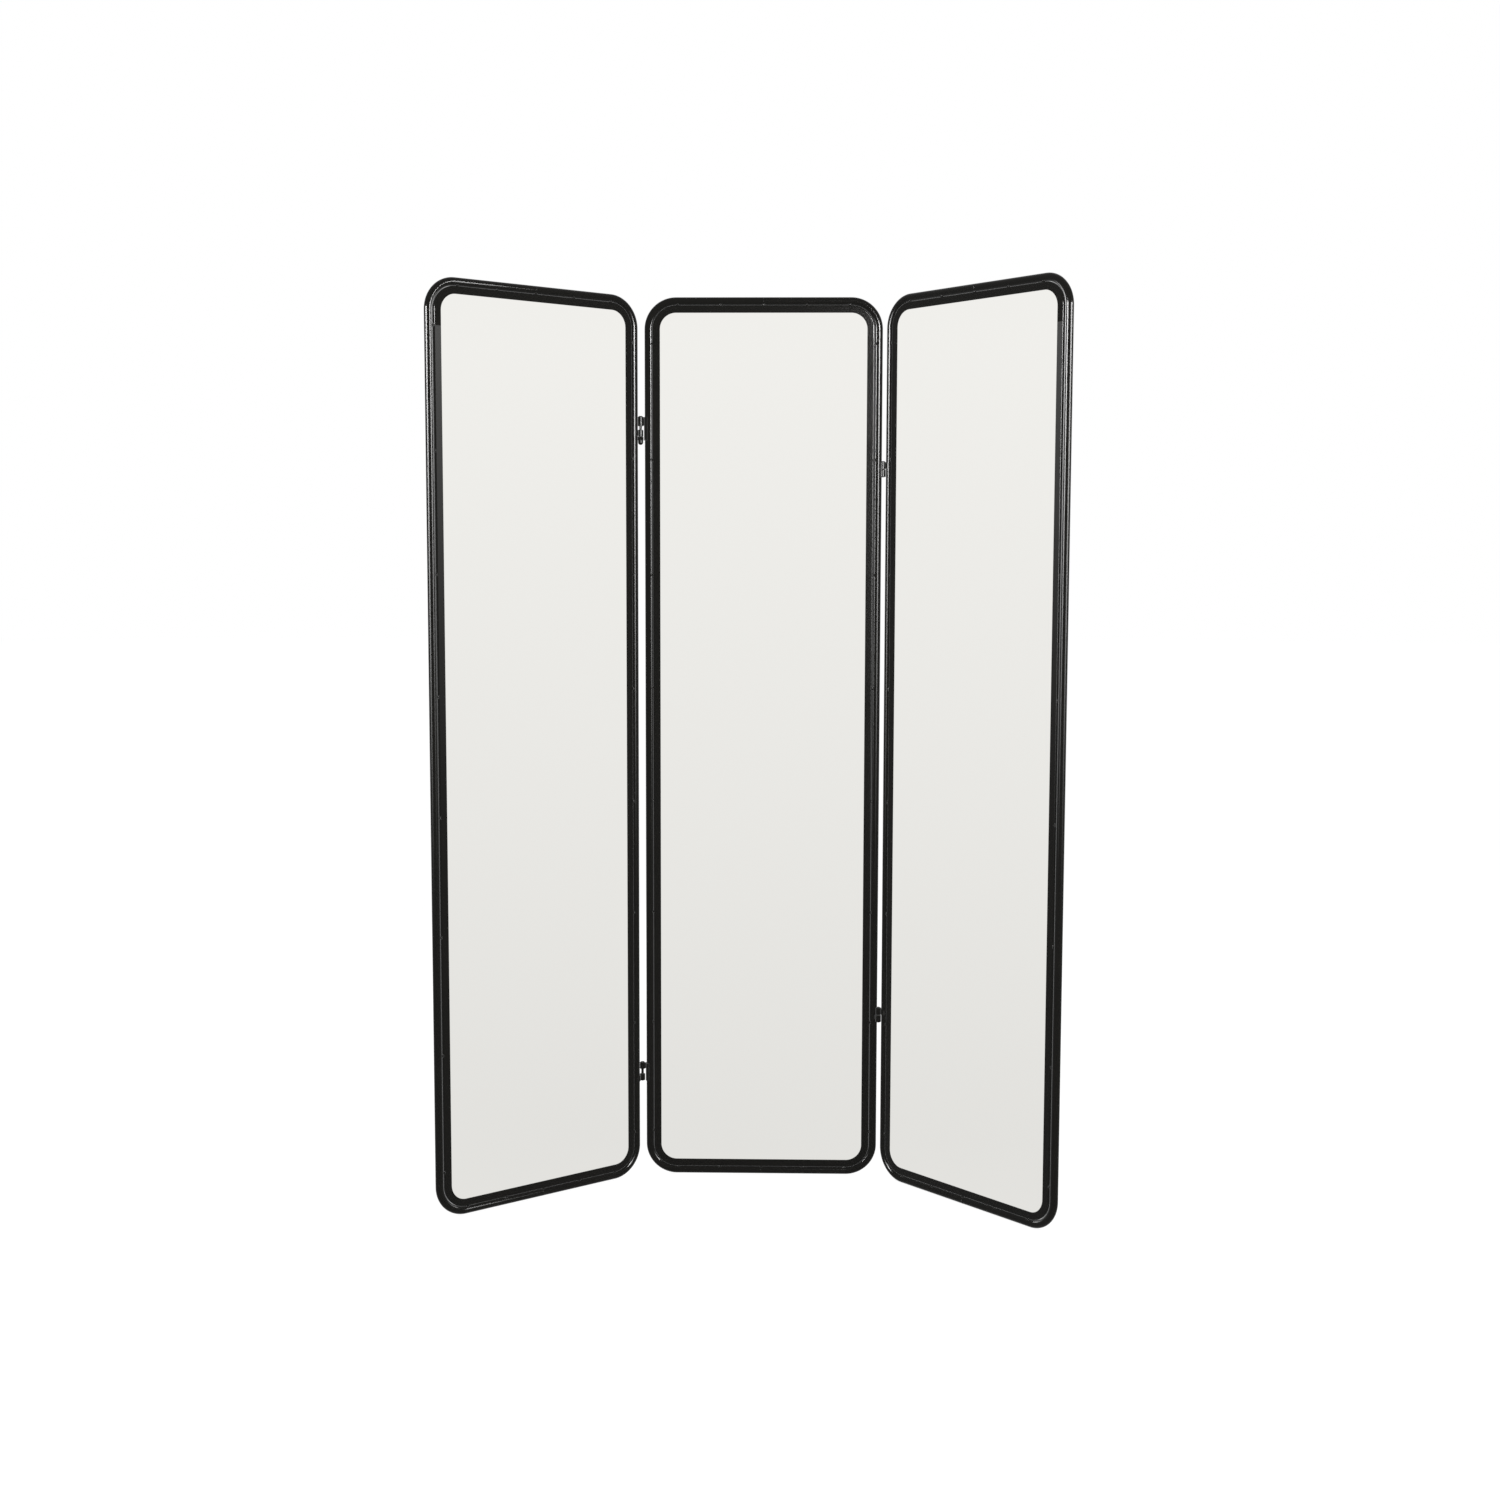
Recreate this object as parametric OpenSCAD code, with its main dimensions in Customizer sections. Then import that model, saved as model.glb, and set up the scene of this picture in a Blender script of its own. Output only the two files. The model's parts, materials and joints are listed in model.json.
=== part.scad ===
// Three panel floor mirror: a centre panel with a hinged wing on each side.
// Each panel is a bent round tube with an angle-section band welded inside it.
// The band holds a mirror glass, a backing board and four glazing beads.
// Millimetres, +Z up, the mirrors face -Y. The origin is on the floor, at the
// middle of the ground that the mirror covers as it stands.

/* [Panels] */
// Outer height of each panel
panel_h = 1700; // [1200:10:2000]
// Outer width of each panel
panel_w = 452; // [360:1:600]
// Outer radius of the tube's corners
corner_outer_r = 60; // [50:1:90]

/* [Standing pose] */
// How far the left wing is folded forward from flat, in degrees
left_fold = 39.3; // [0:0.1:90]
// How far the right wing is folded forward from flat, in degrees
right_fold = 48.7; // [0:0.1:90]

/* [Tube frame] */
// Diameter of the round tube
tube_d = 15; // [13:0.5:18]
// Wall of the round tube
tube_wall = 1.2; // [0.8:0.1:2]
// Length of the sleeve inside each butt joint
sleeve_l = 40; // [20:1:80]
// Wall of the sleeve inside each butt joint
sleeve_wall = 1; // [0.8:0.1:1.5]

/* [Angle band] */
// Width of the band's face, in front of the glass
band_w = 14.5; // [12:0.5:18]
// Thickness of the band's metal
band_t = 1.5; // [1:0.1:2]
// Outer radius of the band's folded edge
band_round = 2.5; // [2.1:0.1:3]
// How far the band's face lies behind the front of the tube
band_setback = 1.5; // [0.5:0.1:2]
// Distance from a panel's top or bottom to the seam where the bow meets the side
band_seam = 87; // [75:1:150]

/* [Glass and back] */
// Thickness of the mirror glass
glass_t = 4; // [3:0.5:4]
// Thickness of the backing board
board_t = 3; // [2:0.5:3]
// Gap between the glass's edge and the band round it
glass_gap = 1.5; // [1:0.1:3]
// Width of each glazing bead
bead_w = 8; // [6:0.5:12]
// Length of each setting block under the glass
block_l = 25; // [10:1:60]
// Distance from each setting block to the panel's middle
block_x = 105; // [60:1:130]

/* [Bead screws] */
// Diameter of a bead screw's shank
screw_d = 3; // [2:0.1:3.2]
// Diameter of a bead screw's head
screw_head_d = 4.6; // [4:0.1:4.8]
// How far a bead screw's tip stands out of the band
screw_tip = 1; // [0.2:0.1:1.5]
// Screws along each side bead
side_screws = 6; // [3:1:10]
// Screws along each top or bottom bead
end_screws = 3; // [2:1:5]

/* [Weld beads] */
// Radius of a tack weld's rounded top
tack_r = 2; // [1.5:0.1:2.4]
// Length of a tack weld
tack_l = 6; // [3:0.5:12]
// Tack welds along each side of a panel
side_tacks = 8; // [4:1:14]
// Tack welds along the top and along the bottom of a panel
end_tacks = 5; // [3:1:9]
// Height of the weld round a tube's butt joint
butt_weld_h = 0.5; // [0.3:0.1:0.8]
// Width of the weld round a tube's butt joint
butt_weld_w = 3; // [2:0.5:5]
// Angle at each side of a tube's outermost line where the butt weld is ground off
butt_weld_start = 25; // [22:1:60]
// How far round each face of the tube the butt weld runs, in degrees
butt_weld_sweep = 90; // [30:1:90]

/* [Hinges] */
// Diameter of a hinge knuckle
barrel_d = 10.4; // [9:0.1:13]
// Chamfer at the ends of a knuckle
barrel_chamfer = 0.7; // [0.2:0.1:0.9]
// Height of a left hinge's knuckles
left_knuckle_h = 13; // [10:0.5:24]
// Height of the long knuckle, at the top of the upper left hinge
long_knuckle_h = 18; // [10:0.5:24]
// Height of a right hinge's knuckles
right_knuckle_h = 14; // [10:0.5:24]
// Diameter of a hinge pin
pin_d = 5; // [4:0.1:6]
// Radial clearance of a pin in a knuckle
pin_clearance = 0.05; // [0.02:0.01:0.1]
// Thickness of the web between a knuckle and its leaf
web_t = 4; // [2:0.1:6]
// Sideways distance from a left hinge's axis to the centre of each tube beside it
left_axis_side = 15.5; // [15.2:0.1:20]
// Sideways distance from a right hinge's axis to the centre of each tube beside it
right_axis_side = 9.5; // [9.3:0.1:11]
// Distance from a panel's bottom up to the middle of the lower left hinge
left_lower_z = 204; // [120:1:400]
// Distance from a panel's top down to the middle of the upper left hinge
left_upper_drop = 245; // [150:1:450]
// Distance from a panel's bottom up to the middle of the lower right hinge
right_lower_z = 322; // [120:1:500]
// Distance from a panel's top down to the middle of the upper right hinge
right_upper_drop = 323; // [120:1:500]
// Open height between the knuckles of the lower left hinge, where the pin shows
left_lower_gap = 10; // [0.4:0.1:12]
// Open height between the knuckles of the upper left hinge, where the pin shows
left_upper_gap = 7; // [0.4:0.1:12]
// Running gap between the knuckles of a right hinge
right_gap = 0.4; // [0.3:0.1:3]

/* [Hinge leaves] */
// Thickness of a leaf, which is curved to lie on the tube
leaf_t = 1.5; // [1:0.1:1.6]
// How much lower than its knuckle a leaf is, at the top and at the bottom
leaf_inset = 1; // [1:0.1:2]
// Size of the bevel at a leaf's far corner
leaf_bevel = 4.5; // [1:0.5:6]
// How far a leaf on the centre panel reaches round the tube to the front, in degrees
centre_leaf_reach = 74; // [60:1:90]
// How far a leaf on the left wing reaches round the tube to the front, in degrees
left_leaf_reach = 98; // [60:1:110]
// How far a leaf on the right wing reaches round the tube to the front, in degrees
right_leaf_reach = 122; // [60:1:130]
// How far a left hinge's leaf reaches round the tube to the back, in degrees
left_leaf_back = 25; // [15:1:30]
// Where a right hinge's leaf starts, in degrees from the side of the tube
right_leaf_start = 5; // [5:1:20]

/* [Pin ends] */
// Diameter of a pin's low head
pin_head_d = 7.4; // [6.4:0.1:9]
// Height of a pin's low head
pin_head_h = 1.2; // [0.8:0.1:3]
// How far a plain pin's end stands out below its lower knuckle
pin_tail = 0.8; // [0.2:0.1:3]
// Width across the flats of the cap nut
nut_flats = 11; // [9:0.5:13]
// Height of the cap nut's hexagon
nut_hex_h = 6.5; // [4:0.5:8]
// Height of the cap nut's dome
nut_dome_h = 8.5; // [6.5:0.5:12]
// Diameter of the cap nut's dome
nut_dome_d = 9.8; // [8.4:0.1:10.8]
// Running gap between the cap nut and the knuckle above it
nut_gap = 0.3; // [0.2:0.1:1]

/* [Hidden] */
$fn = 64;

// Gap left between pieces that are welded or sleeved together
fit_gap = 0.05;
// Gap between a tube and a round barrel beside it
barrel_gap = 0.3;
// How far a cutting shape runs past the face that it cuts
cut_over = 1;

tube_r = tube_d / 2;
half_w = panel_w / 2 - tube_r;
bend_r = corner_outer_r - tube_r;
bend_x = half_w - bend_r;
bend_low_y = corner_outer_r;
bend_high_y = panel_h - corner_outer_r;

// Distances outward from the tube's centre line, so the band's are negative
band_outer = -tube_r - fit_gap;
band_inner = -tube_r - band_w;
leg_inner = band_outer - band_t;
glass_edge = leg_inner - glass_gap;

// Depths, with the front positive and the tube's centre at 0
face_z = tube_r - band_setback;
glass_front_z = face_z - band_t;
glass_back_z = glass_front_z - glass_t;
board_back_z = glass_back_z - board_t;
rear_z = -tube_r;
bead_mid_z = (board_back_z + rear_z) / 2;

// Hinge axes: sideways and forward distances from the tubes beside them
barrel_r = barrel_d / 2;
pin_r = pin_d / 2;
bore_r = pin_r + pin_clearance;
right_axis_dist = tube_r + barrel_r + barrel_gap;
right_axis_fore = sqrt(pow(right_axis_dist, 2) - pow(right_axis_side, 2));
left_axis_fore = 0;

// How far the outer edge of a folded wing reaches sideways and forward
function reach_side(side, fore, fold) =
    half_w + side + (side + 2 * half_w) * cos(fold) + fore * sin(fold) + tube_r;
function reach_fore(side, fore, fold) =
    fore + (side + 2 * half_w) * sin(fold) - fore * cos(fold) + tube_r;
left_reach = reach_side(left_axis_side, left_axis_fore, left_fold);
right_reach = reach_side(right_axis_side, right_axis_fore, right_fold);
fore_reach = max(right_axis_fore + barrel_r,
                 reach_fore(left_axis_side, left_axis_fore, left_fold),
                 reach_fore(right_axis_side, right_axis_fore, right_fold));
back_reach = tube_r + butt_weld_h;

// The place of the centre panel's middle in the mirror's own frame
centre_x = (left_reach - right_reach) / 2;
centre_y = (fore_reach - back_reach) / 2;

paint = [0.11, 0.10, 0.09];
steel = [0.55, 0.55, 0.54];
silver = [0.86, 0.87, 0.86];
board_black = [0.16, 0.14, 0.12];
rubber_black = [0.07, 0.07, 0.07];

// ---- Placing ----------------------------------------------------------------
// A panel is drawn lying down: X across, Y up its height and Z to its front.

module stand_up() {
    rotate([90, 0, 0]) children();
}

module at_centre() {
    translate([centre_x, centre_y, 0]) children();
}

module at_left_axis() {
    at_centre() translate([-half_w - left_axis_side, -left_axis_fore, 0]) children();
}

module at_right_axis() {
    at_centre() translate([half_w + right_axis_side, -right_axis_fore, 0]) children();
}

module on_centre() {
    at_centre() stand_up() children();
}

module on_left_wing() {
    at_left_axis() rotate([0, 0, left_fold])
        translate([-half_w - left_axis_side, left_axis_fore, 0]) stand_up() children();
}

module on_right_wing() {
    at_right_axis() rotate([0, 0, -right_fold])
        translate([half_w + right_axis_side, right_axis_fore, 0]) stand_up() children();
}

// ---- Sweeping a section round a panel ---------------------------------------
// A section is drawn at its distance from the centre of the corner bend.

module straight(length) {
    translate([0, length, 0]) rotate([90, 0, 0]) linear_extrude(length) children();
}

module bend_low() {
    translate([bend_x, bend_low_y, 0]) rotate([0, 0, -90]) rotate_extrude(angle = 90) children();
}

module bend_high() {
    translate([bend_x, bend_high_y, 0]) rotate_extrude(angle = 90) children();
}

// A length of the right side, from one height up to another
module side_run(low_y, high_y) {
    translate([bend_x, low_y, 0]) straight(high_y - low_y) children();
}

// A length of the top, from one place across to another
module top_run(left_x, right_x) {
    translate([right_x, bend_high_y, 0]) rotate([0, 0, 90]) straight(right_x - left_x) children();
}

module on_both_sides() {
    children();
    mirror([1, 0, 0]) children();
}

// Turns what is drawn at the top over to the bottom
module upside_down() {
    translate([0, panel_h, 0]) mirror([0, 1, 0]) children();
}

// ---- Sections ---------------------------------------------------------------

module tube_section() {
    translate([bend_r, 0]) difference() {
        circle(r = tube_r);
        circle(r = tube_r - tube_wall);
    }
}

// A quarter circle's corner filling, with the circle's centre at the origin
module corner_spandrel(radius) {
    difference() {
        square([radius + cut_over, radius + cut_over]);
        circle(r = radius);
    }
}

module band_section() {
    inside_round = band_round - band_t;
    difference() {
        union() {
            translate([bend_r + band_inner, glass_front_z])
                square([band_outer - band_inner, band_t]);
            translate([bend_r + leg_inner, rear_z]) square([band_t, face_z - rear_z]);
            difference() {
                translate([bend_r + leg_inner - inside_round, glass_front_z - inside_round])
                    square([inside_round, inside_round]);
                translate([bend_r + leg_inner - inside_round, glass_front_z - inside_round])
                    circle(r = inside_round);
            }
        }
        translate([bend_r + band_outer - band_round, face_z - band_round])
            corner_spandrel(band_round);
    }
}

// A tack weld fills the groove between the tube and the band
module tack_section() {
    difference() {
        translate([bend_r - tube_r, face_z - tack_r / 2]) circle(r = tack_r);
        translate([bend_r, 0]) circle(r = tube_r + fit_gap);
        translate([bend_r + band_inner, rear_z])
            square([band_outer - band_inner - band_round, face_z - rear_z]);
        translate([bend_r + band_inner, rear_z])
            square([band_outer - band_inner, face_z - band_round - rear_z]);
        translate([bend_r + band_outer - band_round, face_z - band_round])
            circle(r = band_round + fit_gap);
    }
}

// ---- Pieces of a panel ------------------------------------------------------

// One half of the outer tube, split at the middle of the top and bottom
module tube_half() {
    color(paint) {
        top_run(0, bend_x) tube_section();
        bend_high() tube_section();
        side_run(bend_low_y, bend_high_y) tube_section();
        bend_low() tube_section();
        upside_down() top_run(0, bend_x) tube_section();
    }
}

module joint_sleeves() {
    sleeve_r = tube_r - tube_wall - fit_gap;
    color(steel)
        for (joint_y = [tube_r, panel_h - tube_r])
            translate([-sleeve_l / 2, joint_y, 0]) rotate([0, 90, 0]) difference() {
                cylinder(r = sleeve_r, h = sleeve_l);
                translate([0, 0, -cut_over])
                    cylinder(r = sleeve_r - sleeve_wall, h = sleeve_l + 2 * cut_over);
            }
}

// Bead screws along one bead, with their heads on the panel's inner side
module along_side_bead() {
    pitch = (bend_high_y - bend_low_y) / side_screws;
    for (i = [0 : side_screws - 1])
        translate([half_w + leg_inner, bend_low_y + pitch * (i + 0.5), bead_mid_z])
            rotate([0, 90, 0]) children();
}

module along_top_bead() {
    pitch = 2 * bend_x / end_screws;
    for (i = [0 : end_screws - 1])
        translate([-bend_x + pitch * (i + 0.5), panel_h - tube_r + leg_inner, bead_mid_z])
            rotate([-90, 0, 0]) children();
}

// The hole or the screw itself, drawn with the band's inner face at height 0
module screw_shape(gap) {
    head_depth = (screw_head_d - screw_d) / 2;
    translate([0, 0, -bead_w]) cylinder(r = screw_d / 2 + gap, h = bead_w + band_t + screw_tip);
    translate([0, 0, -bead_w])
        cylinder(r1 = screw_head_d / 2 + gap, r2 = screw_d / 2 + gap, h = head_depth);
}

// The band's U-shaped bow at the top
module band_bow() {
    color(paint) difference() {
        union() {
            top_run(-bend_x, bend_x) band_section();
            on_both_sides() {
                bend_high() band_section();
                side_run(panel_h - band_seam, bend_high_y) band_section();
            }
        }
        along_top_bead() screw_shape(fit_gap);
        on_both_sides() along_side_bead() screw_shape(fit_gap);
    }
}

// The band's straight bar on the right side
module band_side() {
    color(paint) difference() {
        side_run(band_seam, panel_h - band_seam) band_section();
        along_side_bead() screw_shape(fit_gap);
    }
}

// The weld round a tube's butt joint, in front and behind
module butt_weld() {
    crown_r = (pow(butt_weld_w / 2, 2) + pow(butt_weld_h, 2)) / (2 * butt_weld_h);
    for (face = [0, 1])
        mirror([0, 0, face]) translate([0, panel_h - tube_r, 0]) rotate([0, 90, 0])
            rotate([0, 0, 90 + butt_weld_start]) rotate_extrude(angle = butt_weld_sweep)
                difference() {
                    translate([tube_r + butt_weld_h - crown_r, 0]) circle(r = crown_r);
                    translate([-2 * crown_r, -2 * crown_r])
                        square([2 * crown_r + tube_r + fit_gap, 4 * crown_r]);
                }
}

module weld_beads() {
    side_pitch = (panel_h - 2 * band_seam) / (side_tacks - 1);
    end_pitch = (2 * bend_x - tack_l) / (end_tacks - 1);
    color(paint) {
        on_both_sides()
            for (i = [0 : side_tacks - 1]) {
                tack_y = band_seam + side_pitch * i;
                side_run(tack_y - tack_l / 2, tack_y + tack_l / 2) tack_section();
            }
        for (i = [0 : end_tacks - 1]) {
            tack_x = -bend_x + end_pitch * i;
            top_run(tack_x, tack_x + tack_l) tack_section();
            upside_down() top_run(tack_x, tack_x + tack_l) tack_section();
        }
        butt_weld();
        upside_down() butt_weld();
    }
}

// A rounded plate with its edge a set distance inside the tube's centre line
module rounded_plate(edge, back_z, thickness) {
    round_r = bend_r + edge;
    translate([0, 0, back_z]) linear_extrude(thickness) {
        translate([-bend_x - round_r, bend_low_y])
            square([2 * (bend_x + round_r), bend_high_y - bend_low_y]);
        translate([-bend_x, bend_low_y - round_r])
            square([2 * bend_x, bend_high_y - bend_low_y + 2 * round_r]);
        for (x = [-bend_x, bend_x])
            for (y = [bend_low_y, bend_high_y])
                translate([x, y]) circle(r = round_r);
    }
}

module mirror_glass() {
    color(silver) rounded_plate(glass_edge, glass_back_z, glass_t);
}

module backing_board() {
    color(board_black) rounded_plate(glass_edge, board_back_z, board_t);
}

// Two rubber blocks carry the glass and the board on the band's bottom bow.
// They stop short of the round inside the band's fold.
module setting_blocks() {
    block_front_z = glass_front_z - (band_round - band_t);
    color(rubber_black)
        for (x = [-block_x, block_x])
            translate([x - block_l / 2, tube_r - leg_inner, board_back_z])
                cube([block_l, glass_gap, block_front_z - board_back_z]);
}

// Four flat bars screwed to the band hold the glass and the board in
module glazing_beads() {
    bead_h = board_back_z - rear_z;
    color(paint) {
        on_both_sides() difference() {
            translate([half_w + leg_inner - bead_w, bend_low_y, rear_z])
                cube([bead_w, bend_high_y - bend_low_y, bead_h]);
            along_side_bead() screw_shape(fit_gap);
        }
        top_bead();
        upside_down() top_bead();
    }
}

module top_bead() {
    difference() {
        translate([-bend_x, panel_h - tube_r + leg_inner - bead_w, rear_z])
            cube([2 * bend_x, bead_w, board_back_z - rear_z]);
        along_top_bead() screw_shape(fit_gap);
    }
}

module bead_screws() {
    color(steel) {
        on_both_sides() along_side_bead() screw_shape(0);
        along_top_bead() screw_shape(0);
        upside_down() along_top_bead() screw_shape(0);
    }
}

// ---- Hinges -----------------------------------------------------------------
// A knuckle is drawn on its own axis, standing at height 0, with its tube on the
// right and set back from the axis by the axis's own distance in front.

module barrel(height) {
    rotate_extrude() polygon([
        [bore_r, 0],
        [barrel_r - barrel_chamfer, 0],
        [barrel_r, barrel_chamfer],
        [barrel_r, height - barrel_chamfer],
        [barrel_r - barrel_chamfer, height],
        [bore_r, height]
    ]);
}

// The web that joins a knuckle to its leaf, from inside one wall to inside the other
module web(side, fore, height) {
    start_x = (bore_r + barrel_r) / 2;
    end_x = sqrt(side * side + fore * fore) - tube_r - fit_gap - leaf_t / 2;
    rotate([0, 0, atan2(fore, side)]) translate([start_x, -web_t / 2, leaf_inset])
        cube([end_x - start_x, web_t, height - 2 * leaf_inset]);
}

// The curved leaf, from one angle round the tube to another, counted to the front
module leaf(side, fore, start, reach, bottom_z, height) {
    translate([side, fore, bottom_z]) rotate([0, 0, 180 + start])
        rotate_extrude(angle = reach - start)
            translate([tube_r + fit_gap, 0]) square([leaf_t, height]);
}

// Bevels the far corner of a leaf: the top one, or the bottom one if low
module leaf_corner(side, reach, height, low) {
    far_x = side - (tube_r + fit_gap + leaf_t / 2) * cos(reach);
    edge_z = height / 2 - leaf_inset;
    translate([0, 0, height / 2]) mirror([0, 0, low ? 1 : 0])
        translate([far_x, 2 * tube_d, edge_z]) rotate([90, 0, 0]) linear_extrude(4 * tube_d)
            polygon([
                [-leaf_bevel - cut_over, cut_over],
                [cut_over, cut_over],
                [cut_over, -leaf_bevel - cut_over]
            ]);
}

// A knuckle whose leaf is as high as its barrel, with one bevelled corner
module short_knuckle(side, fore, start, reach, height, low) {
    color(paint) {
        barrel(height);
        web(side, fore, height);
        difference() {
            leaf(side, fore, start, reach, leaf_inset, height - 2 * leaf_inset);
            leaf_corner(side, reach, height, low);
        }
    }
}

// A knuckle whose leaf runs down past the other knuckle of its hinge
module long_leaf_knuckle(height, leaf_bottom_z) {
    color(paint) {
        barrel(height);
        web(left_axis_side, left_axis_fore, height);
        leaf(left_axis_side, left_axis_fore, -left_leaf_back, centre_leaf_reach,
             leaf_bottom_z, height - leaf_inset - leaf_bottom_z);
    }
}

// A pin with a low head on the upper knuckle, down to a given height
module hinge_pin(bottom_z, top_z) {
    color(paint) {
        translate([0, 0, bottom_z]) cylinder(r = pin_r, h = top_z - bottom_z);
        translate([0, 0, top_z])
            cylinder(r1 = pin_head_d / 2, r2 = (pin_head_d - pin_head_h) / 2, h = pin_head_h);
    }
}

// A domed nut on the end of a pin, with its hexagon uppermost
module cap_nut(top_z, thread_depth) {
    dome_r = nut_dome_d / 2;
    hex_r = nut_flats / 2 / cos(30);
    color(paint) translate([0, 0, top_z - nut_hex_h]) difference() {
        union() {
            rotate([0, 0, 30]) cylinder(r = hex_r, h = nut_hex_h, $fn = 6);
            translate([0, 0, dome_r - nut_dome_h]) cylinder(r = dome_r, h = nut_dome_h - dome_r);
            translate([0, 0, dome_r - nut_dome_h]) sphere(r = dome_r);
        }
        translate([0, 0, nut_hex_h - thread_depth])
            cylinder(r = bore_r, h = thread_depth + cut_over);
    }
}

// Heights of the hinge pieces above the floor
left_upper_z = panel_h - left_upper_drop;
right_upper_z = panel_h - right_upper_drop;
function upper_bottom(middle_z, gap) = middle_z + gap / 2;
function lower_bottom(middle_z, gap, height) = middle_z - gap / 2 - height;
left_upper_top = upper_bottom(left_upper_z, left_upper_gap) + long_knuckle_h;
nut_top = lower_bottom(left_upper_z, left_upper_gap, left_knuckle_h) - nut_gap;
nut_thread = nut_hex_h + nut_dome_h / 3;

// The left hinges' upper knuckle is on the centre, the lower one on the wing
module left_centre_knuckle(middle_z, gap, height, leaf_bottom_z) {
    bottom_z = upper_bottom(middle_z, gap);
    translate([0, 0, bottom_z]) long_leaf_knuckle(height, leaf_bottom_z - bottom_z);
}

module left_wing_knuckle(middle_z, gap) {
    translate([0, 0, lower_bottom(middle_z, gap, left_knuckle_h)])
        rotate([0, 0, left_fold]) mirror([1, 0, 0])
            short_knuckle(left_axis_side, left_axis_fore, -left_leaf_back, left_leaf_reach,
                          left_knuckle_h, false);
}

// The right hinges' upper knuckle is on the wing, the lower one on the centre
module right_wing_knuckle(middle_z) {
    translate([0, 0, upper_bottom(middle_z, right_gap)])
        rotate([0, 0, -right_fold])
            short_knuckle(right_axis_side, right_axis_fore, right_leaf_start, right_leaf_reach,
                          right_knuckle_h, false);
}

module right_centre_knuckle(middle_z) {
    translate([0, 0, lower_bottom(middle_z, right_gap, right_knuckle_h)]) mirror([1, 0, 0])
        short_knuckle(right_axis_side, right_axis_fore, right_leaf_start, centre_leaf_reach,
                      right_knuckle_h, true);
}

// A plain pin that stands a little out of the lower knuckle
module plain_pin(middle_z, gap, height) {
    hinge_pin(lower_bottom(middle_z, gap, height) - pin_tail, upper_bottom(middle_z, gap) + height);
}

// ---- Drawing ----------------------------------------------------------------

on_centre() mirror([1, 0, 0]) tube_half();  // centre_tube_left
on_centre() tube_half();  // centre_tube_right
on_centre() joint_sleeves();  // centre_joint_sleeves
on_centre() band_bow();  // centre_band_top
on_centre() upside_down() band_bow();  // centre_band_bottom
on_centre() mirror([1, 0, 0]) band_side();  // centre_band_left
on_centre() band_side();  // centre_band_right
on_centre() weld_beads();  // centre_weld_beads
on_centre() mirror_glass();  // centre_mirror_glass
on_centre() setting_blocks();  // centre_setting_blocks
on_centre() backing_board();  // centre_backing_board
on_centre() glazing_beads();  // centre_glazing_beads
on_centre() bead_screws();  // centre_bead_screws

on_left_wing() mirror([1, 0, 0]) tube_half();  // left_tube_outer
on_left_wing() tube_half();  // left_tube_inner
on_left_wing() joint_sleeves();  // left_joint_sleeves
on_left_wing() band_bow();  // left_band_top
on_left_wing() upside_down() band_bow();  // left_band_bottom
on_left_wing() mirror([1, 0, 0]) band_side();  // left_band_outer
on_left_wing() band_side();  // left_band_inner
on_left_wing() weld_beads();  // left_weld_beads
on_left_wing() mirror_glass();  // left_mirror_glass
on_left_wing() setting_blocks();  // left_setting_blocks
on_left_wing() backing_board();  // left_backing_board
on_left_wing() glazing_beads();  // left_glazing_beads
on_left_wing() bead_screws();  // left_bead_screws

on_right_wing() mirror([1, 0, 0]) tube_half();  // right_tube_inner
on_right_wing() tube_half();  // right_tube_outer
on_right_wing() joint_sleeves();  // right_joint_sleeves
on_right_wing() band_bow();  // right_band_top
on_right_wing() upside_down() band_bow();  // right_band_bottom
on_right_wing() mirror([1, 0, 0]) band_side();  // right_band_inner
on_right_wing() band_side();  // right_band_outer
on_right_wing() weld_beads();  // right_weld_beads
on_right_wing() mirror_glass();  // right_mirror_glass
on_right_wing() setting_blocks();  // right_setting_blocks
on_right_wing() backing_board();  // right_backing_board
on_right_wing() glazing_beads();  // right_glazing_beads
on_right_wing() bead_screws();  // right_bead_screws

at_left_axis() left_centre_knuckle(left_upper_z, left_upper_gap, long_knuckle_h,  // left_upper_hinge_centre_knuckle
                                       nut_top - nut_hex_h);
at_left_axis() left_wing_knuckle(left_upper_z, left_upper_gap);  // left_upper_hinge_wing_knuckle
at_left_axis() hinge_pin(nut_top - nut_thread, left_upper_top);  // left_upper_hinge_pin
at_left_axis() cap_nut(nut_top, nut_thread);  // left_upper_hinge_cap_nut
at_left_axis() left_centre_knuckle(left_lower_z, left_lower_gap, left_knuckle_h,  // left_lower_hinge_centre_knuckle
                                       lower_bottom(left_lower_z, left_lower_gap, left_knuckle_h));
at_left_axis() left_wing_knuckle(left_lower_z, left_lower_gap);  // left_lower_hinge_wing_knuckle
at_left_axis() plain_pin(left_lower_z, left_lower_gap, left_knuckle_h);  // left_lower_hinge_pin

at_right_axis() right_wing_knuckle(right_upper_z);  // right_upper_hinge_wing_knuckle
at_right_axis() right_centre_knuckle(right_upper_z);  // right_upper_hinge_centre_knuckle
at_right_axis() plain_pin(right_upper_z, right_gap, right_knuckle_h);  // right_upper_hinge_pin
at_right_axis() right_wing_knuckle(right_lower_z);  // right_lower_hinge_wing_knuckle
at_right_axis() right_centre_knuckle(right_lower_z);  // right_lower_hinge_centre_knuckle
at_right_axis() plain_pin(right_lower_z, right_gap, right_knuckle_h);  // right_lower_hinge_pin
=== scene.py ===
"""Three panel floor mirror: finishes, bent tubes, welds, screws, studio and camera.

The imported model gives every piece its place. This script gives each one its finish, rounds
the painted edges, and makes the tubes, the rippled welds and the recessed screws finer than
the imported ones.
Lengths are in metres, +Z is up and the mirrors face -Y.
"""

import json
import math

import bmesh
import bpy
from bpy.props import FloatProperty, FloatVectorProperty, IntProperty, PointerProperty
from mathutils import Matrix, Vector

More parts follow.
